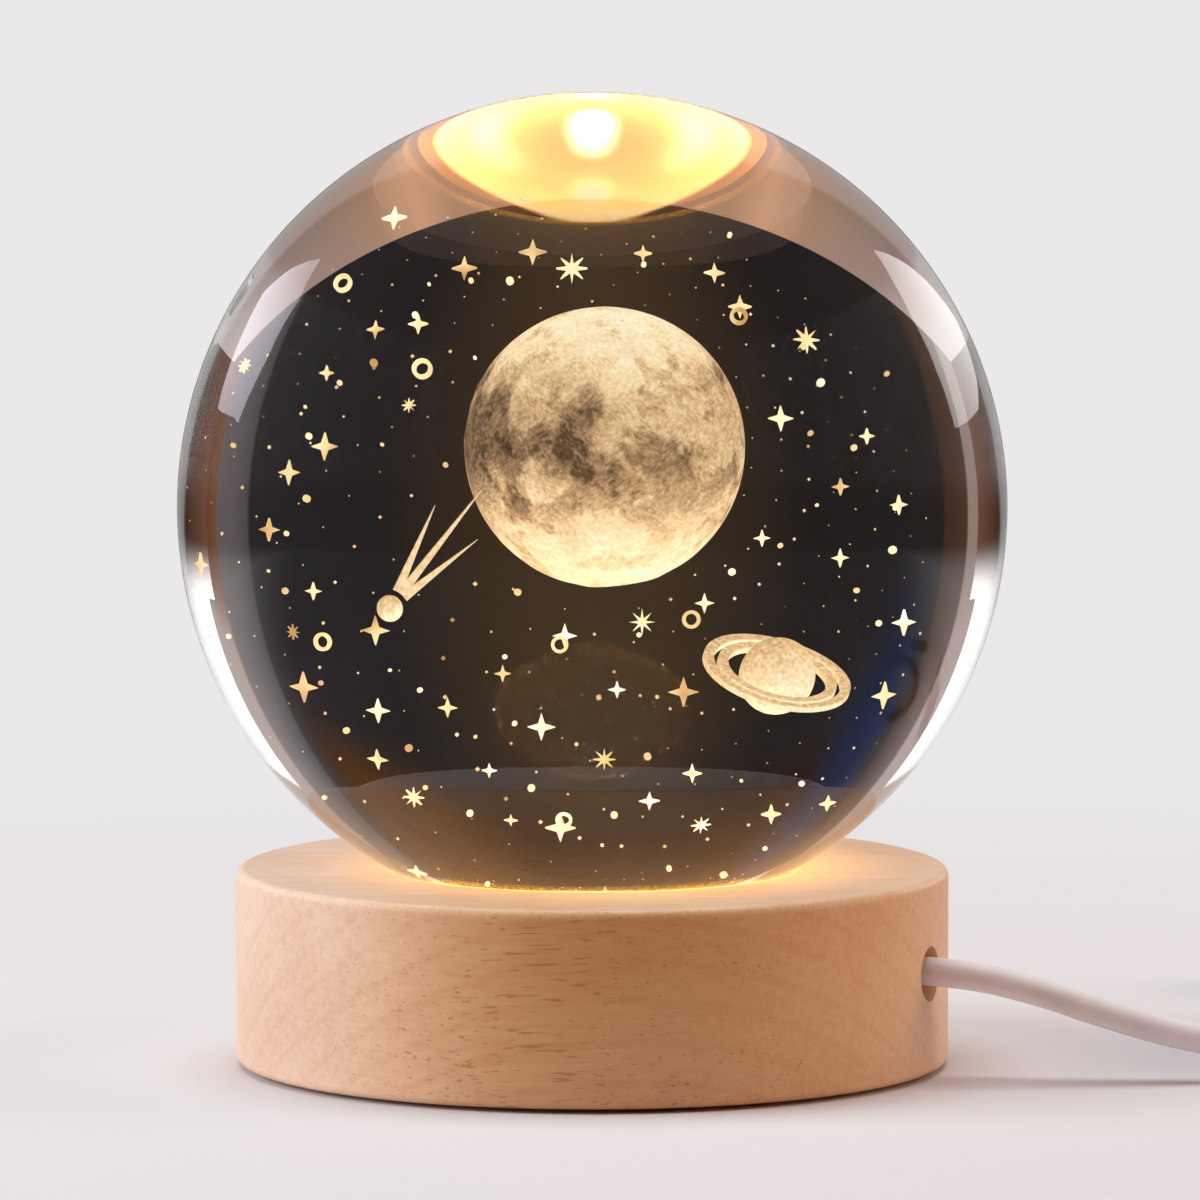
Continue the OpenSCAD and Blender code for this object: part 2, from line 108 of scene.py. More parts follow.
def globe(radius, centre, rows, relief=None):
    """Points and faces of a ball, by row from its lowest point up and by column round it, with its relief."""
    columns = 2 * rows
    tilt = np.linspace(0, math.pi, rows + 1)[1:-1, None]
    turn = np.linspace(0, 2 * math.pi, columns, endpoint=False)[None, :]
    ways = np.stack(
        [np.sin(tilt) * np.cos(turn), np.sin(tilt) * np.sin(turn), -np.cos(tilt) * np.ones_like(turn)], -1
    ).reshape(-1, 3)
    ways = np.vstack([ways, [[0, 0, -1], [0, 0, 1]]])
    reach = radius + (relief(ways) if relief else np.zeros(len(ways)))
    points = np.asarray(centre) + ways * reach[:, None]
    faces = grid_faces(rows - 1, columns).tolist()
    bottom, top, last = len(ways) - 2, len(ways) - 1, (rows - 2) * columns
    around = np.arange(columns)
    faces += [[bottom, (k + 1) % columns, k] for k in around]
    faces += [[top, last + k, last + (k + 1) % columns] for k in around]
    return points, faces


def smooth_route(points, steps):
    """A Catmull-Rom curve: cubics between the points, whose slope at each is half its neighbours' chord."""
    p = np.vstack([2 * points[0] - points[1], points, 2 * points[-1] - points[-2]])
    t = (np.arange(steps) / steps)[None, :, None]
    a, b, c, d = (p[k : len(p) - 3 + k, None, :] for k in range(4))
    curve = 0.5 * (2 * b + (c - a) * t + (2 * a - 5 * b + 4 * c - d) * t**2 + (3 * b - a - 3 * c + d) * t**3)
    return np.vstack([curve.reshape(-1, 3), points[-1:]])


def tube(route, radius, sides):
    """A round tube: at each point of the route, a circle square to it, whose first point is level with it."""
    along = np.gradient(route, axis=0)
    along /= np.linalg.norm(along, axis=1)[:, None]
    side = np.cross(along, [0, 0, 1.0])
    side /= np.linalg.norm(side, axis=1)[:, None]
    up = np.cross(side, along)
    angle = np.linspace(0, 2 * math.pi, sides, endpoint=False)[None, :, None]
    rings = route[:, None] + radius * (np.cos(angle) * side[:, None] + np.sin(angle) * up[:, None])
    points = rings.reshape(-1, 3)
    faces = grid_faces(len(route), sides)[:, ::-1].tolist()
    last = (len(route) - 1) * sides
    faces.append(list(range(sides)))
    faces.append([last + k for k in range(sides)][::-1])
    return points, faces


# Cables: the given routes and the coil's formula, as in the part's source
LEAD_ROUTE = [
    (14.9, -5.42, 10.5), (20.4, -7.4, 10.5), (26.1, -9.5, 10.5), (31.9, -11.6, 10.5),
    (37.5, -12.8, 9.95), (43, -13.2, 8.6), (48.5, -13.3, 6.8), (54, -13.3, 5.15),
    (60, -13.2, 3.8), (66.5, -13, 2.75), (73.5, -12.7, 2.1), (81, -12.5, 1.95),
]
SWITCH_ROUTE = [
    (98, -12.5, 12.15), (102, -12.4, 11.4), (107.7, -11.3, 9.8), (113.5, -8.6, 7.8),
    (118.4, -4.2, 6.2), (121.7, 1.4, 5), (123, 7, 4.5), (123, 10, 4.5),
]
PLUG_ROUTE = [
    (123, 34, 4.5), (123, 37.5, 4.5), (121.8, 44, 4.2), (117.6, 49.4, 4), (111.4, 52, 4), (103, 52, 4)
]
COIL_TURNS = 2
COIL_LAYERS = 4
COIL_STEP = 3.4
COIL_OUT = 20.2
COIL_CENTRE = (92, 7.7)
COIL_Z = 1.95
CABLE_SIDES = 20


def coil_points(per_turn):
    """The coil: its radius falls and rises by a step a turn, and its height climbs at each reversal."""
    t = np.arange(COIL_TURNS * COIL_LAYERS * per_turn + 1) / per_turn
    layer = np.minimum(t // COIL_TURNS, COIL_LAYERS - 1)
    part = t - layer * COIL_TURNS
    inward = np.where(layer % 2 == 0, part, COIL_TURNS - part)
    radius = COIL_OUT - COIL_STEP * inward
    climbs = [np.clip((t - COIL_TURNS * k + 0.25) / 0.5, 0, 1) for k in range(1, COIL_LAYERS)]
    height = COIL_Z + COIL_STEP * sum(climbs)
    turn = 2 * math.pi * t
    x = COIL_CENTRE[0] + radius * np.sin(turn)
    y = COIL_CENTRE[1] - radius * np.cos(turn)
    return np.stack([x, y, height], -1)


def cable(name, points, steps, replaced):
    """One cable tube from its points, in place of the parts it replaces, which are hidden."""
    route = smooth_route(np.array(points, float), steps) * MM
    piece = mesh_piece(name, *tube(route, CABLE_D / 2, CABLE_SIDES), "base", "cable")
    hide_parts(*replaced)
    return piece


switch_pieces = [nodes[n] for n in (
    "switch_lower_shell", "switch_upper_shell", "switch_button", "switch_core", "switch_terminals",
    "switch_wires", "coil_strap",
)]
plug_pieces = [nodes[n] for n in ("plug_grip", "plug_shell", "plug_tongue", "plug_contacts")]
lead = cable(
    "lead", np.vstack([LEAD_ROUTE, coil_points(per_turn=24), SWITCH_ROUTE]), 4,
    ("cable_lead", "cable_coil", "switch_lead"),
)
plug_lead = cable(
    "plug_cable", PLUG_ROUTE, 8, ("plug_lead",)
)


# Helpers for materials
def colour(code):
    """An sRGB hex colour as linear red, green, blue and full cover."""
    parts = [int(code[k : k + 2], 16) / 255 for k in (1, 3, 5)]
    return [c / 12.92 if c <= 0.04045 else ((c + 0.055) / 1.055) ** 2.4 for c in parts] + [1.0]


WHITE = colour("#FFFFFF")
FROST_GREY = (0.12, 0.12, 0.12, 1)


def add(tree, kind, inputs=None, **settings):
    """Adds one node with its settings and its sockets' values or links."""
    node = tree.nodes.new("ShaderNode" + kind)
    for key, value in settings.items():
        setattr(node, key, value)
    for key, value in (inputs or {}).items():
        if isinstance(value, bpy.types.NodeSocket):
            tree.links.new(value, node.inputs[key])
        else:
            node.inputs[key].default_value = value
    return node


def object_place(tree):
    """The place on an object, in its own frame."""
    return add(tree, "TexCoord").outputs["Object"]


def split(tree, vector):
    """The three parts of a vector."""
    return add(tree, "SeparateXYZ", {0: vector}).outputs


def mapped(tree, vector, scale=(1, 1, 1), turn=(0, 0, 0), shift=(0, 0, 0)):
    """A vector scaled, then turned, then shifted."""
    return add(tree, "Mapping", {
        "Vector": vector, "Scale": scale, "Rotation": turn, "Location": shift}).outputs[0]


def maths(tree, operation, *values):
    """The result of an operation on up to three numbers."""
    return add(tree, "Math", dict(enumerate(values)), operation=operation).outputs[0]


def times(tree, one, other):
    """The product of two numbers."""
    return maths(tree, "MULTIPLY", one, other)


def largest(tree, one, other):
    """The larger of two numbers."""
    return maths(tree, "MAXIMUM", one, other)


def vectors(tree, operation, *values):
    """The vector that an operation on one or two vectors gives."""
    return add(tree, "VectorMath", dict(enumerate(values)), operation=operation).outputs["Vector"]


def measure(tree, operation, *values):
    """The number that an operation on one or two vectors gives."""
    return add(tree, "VectorMath", dict(enumerate(values)), operation=operation).outputs["Value"]


def axis_distance(tree, x, y):
    """The distance from the object's upright axis."""
    return measure(tree, "LENGTH", add(tree, "CombineXYZ", {0: x, 1: y}).outputs[0])


def spread(tree, value, low, high, start=0.0, end=1.0, smooth=False):
    """A number carried from the range low to high to the range start to end, and held at its ends."""
    return add(tree, "MapRange", {
        "Value": value, "From Min": low, "From Max": high, "To Min": start, "To Max": end,
    }, interpolation_type="SMOOTHSTEP" if smooth else "LINEAR").outputs[0]


def noise(tree, place, scale, detail=2.0, roughness=0.5, distortion=0.0):
    """Fractal noise at a place, as a number about 0.5."""
    return add(tree, "TexNoise", {
        "Vector": place, "Scale": scale, "Detail": detail, "Roughness": roughness, "Distortion": distortion,
    }).outputs["Fac"]


def ramp(tree, value, *stops):
    """The colour at a number from 0 to 1, between stops that each have a place and an sRGB code."""
    node = add(tree, "ValToRGB", {"Fac": value})
    elements = node.color_ramp.elements
    while len(elements) < len(stops):
        elements.new(0.5)
    for element, (place, code) in zip(elements, stops):
        element.position = place
        element.color = colour(code)
    return node.outputs[0]


def blend(tree, share, one, other, kind="MIX"):
    """One colour with a share of the other over it, mixed or multiplied."""
    return add(tree, "Mix", {0: share, 6: one, 7: other}, data_type="RGBA", blend_type=kind).outputs[2]


def shine(tree, tone, strength=1.0):
    """A shader that only gives off light."""
    return add(tree, "Emission", {"Color": tone, "Strength": strength})


def either(tree, share, one, other):
    """One shader with a share of the other in its place."""
    return add(tree, "MixShader", {0: share, 1: one.outputs[0], 2: other.outputs[0]})


def new_material(name):
    """An empty node material and its tree."""
    material = bpy.data.materials.new(name)
    material.use_nodes = True
    material.node_tree.nodes.clear()
    return material, material.node_tree


def finish_surface(tree, shader):
    """Feeds a shader to the material's output."""
    add(tree, "OutputMaterial", {"Surface": shader.outputs[0]})


def dress(material, *pieces):
    """Gives every piece this material in all its slots."""
    for piece in pieces:
        if not piece.data.materials:
            piece.data.materials.append(material)
        for slot in piece.material_slots:
            slot.material = material


# Materials
def beech_tone(tree, place, turned, fibre, grit):
    """The colour of sanded beech: creamy pink, with dark flecks 2.5 mm long and 0.3 mm thin along its grain,
    faint growth lines 3 mm apart, painted light and shade across it and a painted highlight on its upper
    edge."""
    x, y, z = split(tree, place)
    wide = maths(tree, "ABSOLUTE", x)
    broad = noise(tree, place, 42, 3)
    body = ramp(tree, broad, (0.3, "#E2BCA3"), (0.52, "#EAC9B4"), (0.72, "#EFD4C3"))
    streaks = ramp(tree, fibre, (0.32, "#EEDAC8"), (0.62, "#FFFFFF"))
    tone = blend(tree, 0.45, body, streaks, "MULTIPLY")
    # Painted light and shade: the wood is painted palest at its left end and warmest in the middle, and its
    # top is painted less warm than its side
    across = spread(tree, x, -35 * MM, 35 * MM)
    painted_light_tint = ramp(tree, across, (0.0, "#FFFFFF"), (0.07, "#FFFFFF"), (0.14, "#FFFDF6"), (0.23, "#FFF3DE"),
                (0.3, "#F9E8CB"), (0.39, "#F9E7C1"), (0.5, "#F7E4BB"), (0.7, "#F4E1BB"), (0.86, "#F4E2C3"),
                (1.0, "#FFF3DF"))
    turned_side = spread(tree, z, WOOD_TOP - 0.3 * MM, WOOD_TOP - 0.02 * MM, 1.0, 0.6)
    tone = blend(tree, turned_side, tone, painted_light_tint, "MULTIPLY")
    rings = add(tree, "TexWave", {
        "Vector": mapped(tree, place, turn=(0.68, 0.05, 0)), "Scale": 105, "Distortion": 3, "Detail": 2,
        "Detail Scale": 0.25,
    }, bands_direction="Z").outputs["Fac"]
    late = ramp(tree, rings, (0.8, "#FFFFFF"), (0.97, "#E2BFA2"))
    tone = blend(tree, 0.12, tone, late, "MULTIPLY")
    # Flecks crowd together in some places and leave others clear
    fleck = noise(tree, mapped(tree, turned, (200, 3800, 3800)), 1.0, 1)
    crowd = spread(tree, broad, 0.35, 0.65, 0.06, -0.03)
    dark = ramp(tree, maths(tree, "ADD", fleck, crowd), (0.655, "#FFFFFF"), (0.75, "#BE865A"))
    # Towards the end grain at the left and right the same flecks are seen end on, and fainter
    along = spread(tree, wide, 14 * MM, 30 * MM, 0.52, 0.15)
    tone = blend(tree, along, tone, dark, "MULTIPLY")
    fine = ramp(tree, grit, (0.35, "#F1E4DA"), (0.6, "#FFFFFF"))
    tone = blend(tree, 0.12, tone, fine, "MULTIPLY")
    # A painted highlight along the upper edge: paler there, unevenly
    edge_up = spread(tree, z, WOOD_TOP - 1.1 * MM, WOOD_TOP - 0.6 * MM)
    edge_out = spread(tree, axis_distance(tree, x, y), 33.4 * MM, 34.2 * MM)
    uneven = spread(tree, grit, 0.3, 0.7, 0.0, 0.32)
    rim_highlight_and_seas = times(tree, times(tree, edge_up, edge_out), uneven)
    return blend(tree, rim_highlight_and_seas, tone, colour("#F8DFC4"))


def light_spot(tree, across, height, middle, level, inner, outer, flatness):
    """A flat spot of light on the pocket's wall: 1 inside one distance from its middle and 0 outside another.
    Its height is its width divided by its flatness."""
    flat = add(tree, "CombineXYZ", {0: across, 2: height}).outputs[0]
    offset = vectors(tree, "SUBTRACT", flat, (middle, 0, level))
    away = measure(tree, "LENGTH", vectors(tree, "MULTIPLY", offset, (1, 1, flatness)))
    return spread(tree, away, inner, outer, 1.0, 0.0, smooth=True)


def lamplight_on_wood(tree, place, grit):
    """The colour and strength of the lamp's own light: it floods the pocket and leaks out round the ball."""
    x, y, z = split(tree, place)
    wide = maths(tree, "ABSOLUTE", x)
    reach = axis_distance(tree, x, y)
    fade = spread(tree, reach, SEAT_R + 0.2 * MM, SEAT_R + 14 * MM, 1.0, 0.0)
    warmer = spread(tree, x, -30 * MM, 30 * MM, 0.35, 0.95)
    halo = times(tree, maths(tree, "POWER", fade, 2.2), warmer)
    # A thin line of light at the seat, broken up where the ball touches the wood
    frontal = spread(tree, wide, 13 * MM, 18 * MM, 1.0, 0.1, smooth=True)
    line = spread(tree, reach, SEAT_R + 0.1 * MM, SEAT_R + 0.75 * MM, frontal, 0.0)
    broken = spread(tree, grit, 0.38, 0.62, 0.9, 4.2)
    seam = maths(tree, "MULTIPLY_ADD", line, broken, halo)
    leak = times(tree, seam, maths(tree, "GREATER_THAN", z, WOOD_TOP - 0.3 * MM))
    # The pocket's wall is lit up to a line that dips at its left and right, and brightest beside the LEDs
    inner = maths(tree, "LESS_THAN", reach, SEAT_R - 0.05 * MM)
    dip = spread(tree, wide, 2 * MM, 17 * MM, 0.0, 1.5 * MM, smooth=True)
    edge = spread(tree, maths(tree, "ADD", dip, z), WOOD_TOP - 0.05 * MM, WOOD_TOP - 0.5 * MM)
    lit = times(tree, inner, edge)
    high = spread(tree, z, WOOD_TOP - 7 * MM, WOOD_TOP - 0.8 * MM)
    near = light_spot(tree, wide, z, 0, WOOD_TOP - 7.4 * MM, 1.5 * MM, 4.4 * MM, 2.6)
    for middle, drop, outer, flatness, share in ((12.6, 4.8, 6.5, 3.0, 0.5), (0.0, 3.0, 4.4, 1.7, 0.6)):
        other = light_spot(tree, wide, z, middle * MM, WOOD_TOP - drop * MM, 0.0, outer * MM, flatness)
        near = largest(tree, near, times(tree, other, share))
    level = spread(tree, high, 0.0, 1.0, 0.62 * POCKET_LIGHT, 2.7 * POCKET_LIGHT)
    brighter = maths(tree, "MULTIPLY_ADD", near, 1.6 * POCKET_LIGHT, level)
    strength = maths(tree, "MULTIPLY_ADD", brighter, lit, leak)
    yellow = times(tree, maths(tree, "POWER", high, 4.0), 0.45)
    hue = ramp(tree, largest(tree, near, yellow), (0.0, "#FFC058"), (0.3, "#FFD880"), (0.7, "#FFF2C8"),
               (1.0, "#FFFFFF"))
    return blend(tree, edge, colour("#FFAE38"), hue), strength


def beech_wood():
    """Turned and sanded beech with a satin surface, lit by the lamp in its pocket and round the ball."""
    material, tree = new_material("sanded_beech")
    place = object_place(tree)
    turned = mapped(tree, place, turn=(0.03, 0.04, 0.14))
    fibre = noise(tree, mapped(tree, turned, (90, 1500, 1500)), 1.0, 4, 0.6)
    grit = noise(tree, place, 1 / (0.35 * MM), 2, 0.6)
    bump = add(tree, "Bump", {"Strength": 0.1, "Distance": 0.04 * MM, "Height": fibre}).outputs[0]
    light, strength = lamplight_on_wood(tree, place, grit)
    finish_surface(tree, add(tree, "BsdfPrincipled", {
        "Base Color": beech_tone(tree, place, turned, fibre, grit), "Roughness": 0.42, "Normal": bump,
        "Emission Color": light, "Emission Strength": strength}))
    return material


def crystal():
    """Polished optical crystal: colourless, with a sharp gloss. Lamps shine straight through it."""
    material, tree = new_material("polished_crystal")
    glass = add(tree, "BsdfPrincipled", {
        "Base Color": WHITE, "Roughness": 0.0, "IOR": CRYSTAL_IOR, "Transmission Weight": 1.0})
    path = add(tree, "LightPath").outputs
    soft = largest(tree, path["Is Shadow Ray"], path["Is Diffuse Ray"])
    finish_surface(tree, either(tree, soft, glass, add(tree, "BsdfTransparent")))
    return material


def frosted_points(tree, tone, strength, normal=None):
    """Points burnt into crystal: dull, a little lit by the room and mostly glowing with the light from below.
    The faint second image of them, which the crystal's far side mirrors, is left out."""
    dull = blend(tree, 1.0, tone, FROST_GREY, "MULTIPLY")
    points = add(tree, "BsdfPrincipled", {
        "Base Color": dull, "Roughness": 0.9, "Emission Color": tone, "Emission Strength": strength})
    if normal:
        tree.links.new(normal, points.inputs["Normal"])
    mirrored = add(tree, "LightPath").outputs["Is Reflection Ray"]
    finish_surface(tree, either(tree, mirrored, points, add(tree, "BsdfTransparent")))


def moon_engraving(centre, radius):
    """Laser engraving in crystal: ivory frosted points in fine strokes 0.25 mm apart, with worn brown seas,
    brightest at the top edge and low down, where the light comes in."""
    material, tree = new_material("laser_engraved_moon")
    place = object_place(tree)
    at = mapped(tree, place, [1 / radius] * 3, shift=[-c / radius for c in centre])
    z = split(tree, at)[2]
    # Short strokes, which lean to the right in some places and to the left in others
    strokes = []
    for lean in (0.65, -0.75):
        leaning = mapped(tree, place, turn=(0, lean, 0))
        drawn = mapped(tree, leaning, (1 / (0.42 * MM), 1 / (0.4 * MM), 1 / (0.21 * MM)))
        strokes.append(noise(tree, drawn, 1.0, 1))
    which = spread(tree, noise(tree, place, 1 / (3 * MM), 1), 0.45, 0.55)
    hatch = add(tree, "Mix", {0: which, 2: strokes[0], 3: strokes[1]}, data_type="FLOAT").outputs[0]
    grit = noise(tree, place, 1 / (0.28 * MM), 2, 0.7)
    bump = add(tree, "Bump", {"Strength": 0.9, "Distance": 0.12 * MM, "Height": grit}).outputs[0]
    total = ramp(tree, spread(tree, z, -1.0, 1.0), (0.0, "#EEEEEE"), (0.16, "#E9E9E9"), (0.34, "#D8D8D8"),
                 (0.5, "#C3C3C3"), (0.7, "#C8C8C8"), (0.85, "#EEEEEE"), (1.0, "#FFFFFF"))
    facing = measure(tree, "DOT_PRODUCT", bump, (0.5, -0.6, -0.62))
    lit = spread(tree, facing, -0.8, 0.9, -0.13, 0.09)
    # The seas fade out near the top and low down, where the painted glow from below is brightest
    seas = noise(tree, at, 1.7, 8, 0.6, 0.4)
    rim_highlight_and_seas = times(tree, spread(tree, seas, 0.46, 0.54, -0.23, 0.0), spread(tree, z, -0.75, -0.3, 0.15, 1.0))
    rim_highlight_and_seas = times(tree, rim_highlight_and_seas, spread(tree, z, 0.45, 0.85, 1.0, 0.15))
    patch = spread(tree, noise(tree, at, 6, 6, 0.7), 0.3, 0.7, -0.12, 0.1)
    stroke = spread(tree, hatch, 0.3, 0.7, -0.09, 0.09)
    hole = spread(tree, noise(tree, at, 2.6, 7, 0.62), 0.4, 0.45, -0.17, 0.0)
    for part in (lit, rim_highlight_and_seas, patch, stroke, hole):
        total = maths(tree, "ADD", total, part)
    tone = ramp(tree, total, (0.0, "#33281C"), (0.22, "#6A5238"), (0.4, "#A5835F"), (0.56, "#D2AE80"),
                (0.72, "#F3D3A2"), (0.88, "#FBE9C0"), (1.0, "#FFF8DC"))
    frosted_points(tree, tone, 0.92, bump)
    return material


def engraved_figure():
    """Laser engraving in crystal: gritty ivory points, brighter low down, where the light comes in."""
    material, tree = new_material("laser_engraved_figure")
    normal = add(tree, "NewGeometry").outputs["Normal"]
    facing = measure(tree, "DOT_PRODUCT", normal, (0.38, -0.35, -0.86))
    grit = noise(tree, object_place(tree), 1 / (0.35 * MM), 3)
    lit = spread(tree, facing, -1, 1, 0.45, 1.0)
    total = maths(tree, "ADD", lit, spread(tree, grit, 0.3, 0.7, -0.2, 0.15))
    tone = ramp(tree, total, (0.0, "#5E4C33"), (0.4, "#C09A68"), (0.7, "#EFCB96"), (1.0, "#FFF0CC"))
    frosted_points(tree, tone, 1.0)
    return material


def engraved_stars(name, strength):
    """Laser engraving in crystal: small frosted marks, from gold to ivory, some of them much brighter."""
    material, tree = new_material(name)
    cloud = noise(tree, object_place(tree), 1 / (5 * MM), 2)
    tone = ramp(tree, cloud, (0.32, "#B98F58"), (0.46, "#EFCF94"), (0.6, "#FFEBBE"), (0.7, "#FFFDF0"))
    frosted_points(tree, tone, strength)
    return material


def glowing(name, code, strength):
    """A surface that gives off its own light."""
    material, tree = new_material(name)
    finish_surface(tree, shine(tree, colour(code), strength))
    return material


def lit_mask():
    """The light board's pale mask, flooded by its LEDs: orange cream, and brighter near each of them."""
    material, tree = new_material("lit_board_mask")
    spot = split(tree, object_place(tree))
    flat = add(tree, "CombineXYZ", {0: spot[0], 1: spot[1]}).outputs[0]
    low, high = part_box("led_windows")
    ring = 0.5 * (high.x - low.x) - 0.9 * MM
    first, *others = (
        measure(tree, "DISTANCE", flat, (*middle, 0))
        for middle in ((ring, 0), (0, ring), (-ring, 0), (0, -ring))
    )
    for away in others:
        first = maths(tree, "MINIMUM", away, first)
    near = spread(tree, first, 1.0 * MM, 5.0 * MM, 1.0, 0.0, smooth=True)
    finish_surface(tree, add(tree, "BsdfPrincipled", {
        "Base Color": colour("#F2EEE4"), "Roughness": 0.4,
        "Emission Color": ramp(tree, near, (0.0, "#FFB873"), (0.6, "#FFD28C"), (1.0, "#FFF1C4")),
        "Emission Strength": spread(tree, near, 0.0, 1.0, 0.85 * POCKET_LIGHT, 2.0 * POCKET_LIGHT)}))
    return material


def moulded(name, code, roughness, grain_mm=0.15, depth_mm=0.01, metallic=0.0):
    """A moulded or stamped surface: one colour with slight mottling and the mould's fine grain."""
    material, tree = new_material(name)
    place = object_place(tree)
    grain = noise(tree, place, 1 / (grain_mm * MM), 3)
    shade = ramp(tree, noise(tree, place, 1 / (6 * MM)), (0.3, "#F2F0EE"), (0.7, "#FFFFFF"))
    bump = add(tree, "Bump", {"Strength": 0.3, "Distance": depth_mm * MM, "Height": grain}).outputs[0]
    finish_surface(tree, add(tree, "BsdfPrincipled", {
        "Base Color": blend(tree, 1.0, colour(code), shade, "MULTIPLY"), "Roughness": roughness,
        "Metallic": metallic, "Normal": bump}))
    return material


# Crystal ball and its engraving
ball = mesh_piece("crystal", *globe(BALL_R, (0, 0, BALL_Z), BALL_ROWS), "ball", "crystal")
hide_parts("crystal_ball")
dress(crystal(), ball)

moon_low, moon_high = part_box("engraved_moon")
moon_centre = 0.5 * (moon_low + moon_high)
moon_r = 0.5 * (moon_high.z - moon_low.z)


def crater_relief(ways):
    """Craters on a golden spiral: bowls inside raised rims, whose depths go with their widths."""
    k = np.arange(CRATERS)
    tilt = np.arccos(1 - 2 * (k + 0.5) / CRATERS)
    turn = GOLDEN_ANGLE * k + 0.6
    middles = np.stack([np.sin(tilt) * np.cos(turn), np.sin(tilt) * np.sin(turn), np.cos(tilt)], -1)
    sizes = 0.05 + 0.2 * ((k * 7 % 13) / 12) ** 3
    relief = np.zeros(len(ways))
    for middle, size in zip(middles, sizes):
        away = np.arccos(np.clip(ways @ middle, -1, 1)) / size
        relief -= BOWL_DEPTH * size * np.clip(1 - away**2, 0, 1)
        relief += RIM_HEIGHT * size * np.exp(-(((away - 1.05) / 0.2) ** 2))
    return moon_r * relief


relief_globe = globe(0.985 * moon_r, moon_centre, MOON_ROWS, crater_relief)
moon = mesh_piece("moon", *relief_globe, "ball", "moon_engraving")
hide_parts("engraved_moon")
dress(moon_engraving(moon_centre, moon_r), moon)


def tiny_marks(centres, sizes):
    """An octahedron of its own size at each centre, as points and faces."""
    corners = np.array([[1, 0, 0], [0, 1, 0], [-1, 0, 0], [0, -1, 0], [0, 0, 1], [0, 0, -1]], float)
    points = (centres[:, None] + sizes[:, None, None] * corners).reshape(-1, 3)
    one = np.array([[0, 1, 4], [1, 2, 4], [2, 3, 4], [3, 0, 4], [1, 0, 5], [2, 1, 5], [3, 2, 5], [0, 3, 5]])
    faces = (one[None] + 6 * np.arange(len(centres))[:, None, None]).reshape(-1, 3)
    return points, faces.tolist()


def dust_marks():
    """Places on a sunflower spiral whose depth and size go round with the index, kept clear of the moon."""
    k = np.arange(DUST_MARKS)
    reach = DUST_R * np.sqrt((k + 0.5) / DUST_MARKS)
    turn = GOLDEN_ANGLE * k + 2.2
    depth = DUST_DEPTH * np.sin(k * 2.4)
    centre = np.stack([reach * np.cos(turn), depth, BALL_Z - 2 * MM + reach * np.sin(turn)], -1)
    apart = np.hypot(centre[:, 0] - moon_centre[0], centre[:, 2] - moon_centre[2])
    inside = np.linalg.norm(centre - [0, 0, BALL_Z], axis=1) < 0.7 * BALL_R
    kept = (apart > moon_r + 1 * MM) & inside
    return tiny_marks(centre[kept], (0.05 + 0.09 * ((k * 5 % 7) / 6) ** 2)[kept] * MM)


def seat_glint_marks():
    """Painted glints of the lamp's light where the ball meets its seat: glowing marks round the contact
    circle by the golden angle, from the seat up to 1.5 mm above it, just under the ball's skin."""
    k = np.arange(SEAT_GLINTS)
    turn = GOLDEN_ANGLE * k
    lift = 1.5 * MM * ((k * 11 % 17) / 16) ** 2
    drop = BALL_Z - WOOD_TOP - 0.15 * MM - lift
    reach = np.sqrt(BALL_R**2 - drop**2) - 0.35 * MM
    centre = np.stack([reach * np.cos(turn), reach * np.sin(turn), BALL_Z - drop], -1)
    return tiny_marks(centre, (0.03 + 0.07 * ((k * 5 % 9) / 8) ** 3) * MM)


dust = mesh_piece("star_dust", *dust_marks(), "ball", "star_engraving", smooth=False)
dress(engraved_stars("fine_engraving", 0.9), dust)
# Painted glints: small glowing marks at the seat, standing for the lamp's light caught there
glints = mesh_piece("seat_glints", *seat_glint_marks(), "ball", "star_engraving", smooth=False)
dress(engraved_stars("seat_glint_glow", 1.6), glints)
dress(engraved_stars("star_engraving", 1.25), nodes["engraved_stars"], nodes["engraved_dots"])
dress(engraved_figure(), nodes["engraved_planet"], nodes["engraved_comet"])

# Base, light and lead
dress(beech_wood(), nodes["wooden_base"])
dress(moulded("pad_foam", "#1D1B1A", 0.9, 0.3, 0.05), nodes["foot_pad"])
dress(moulded("spacer_foam", "#6E6E6E", 0.9, 0.3, 0.05), nodes["board_spacer"])
dress(lit_mask(), nodes["led_board"])
dress(moulded("led_package", "#F4F1E8", 0.3), nodes["led_bodies"])
dress(glowing("led_phosphor", "#FFF3DA", LED_LIGHT), nodes["led_windows"])
dress(moulded("chip_black", "#1A1A1A", 0.4), nodes["chip_resistors"])
dress(moulded("solder", "#C9C9CC", 0.25, metallic=1.0), nodes["solder_joints"])
dress(moulded("wire_sleeve", "#B5231B", 0.4), nodes["core_wires"], nodes["switch_wires"])
dress(moulded("nylon", "#ECEAE4", 0.45), nodes["cable_tie"], nodes["coil_strap"])
dress(moulded("pvc_sleeve", "#FAF3F5", 0.38, 0.2, 0.006), lead, plug_lead)
dress(moulded("switch_abs", "#EDE9EA", 0.35), nodes["switch_lower_shell"], nodes["switch_upper_shell"])
dress(moulded("button_abs", "#D5D2D3", 0.3), nodes["switch_button"])
dress(moulded("core_nylon", "#222222", 0.5), nodes["switch_core"])
dress(moulded("brass", "#D8B25A", 0.3, metallic=1.0), nodes["switch_terminals"], nodes["plug_contacts"])
dress(moulded("grip_pvc", "#EBE6E7", 0.5), nodes["plug_grip"])
dress(moulded("plug_steel", "#C6C7C9", 0.28, metallic=1.0), nodes["plug_shell"])
dress(moulded("tongue_plastic", "#F2F2F0", 0.4), nodes["plug_tongue"])

# What is put away beside the lamp isn't mirrored in the ball
for piece in (lead, plug_lead, *switch_pieces, *plug_pieces):
    piece.visible_glossy = False

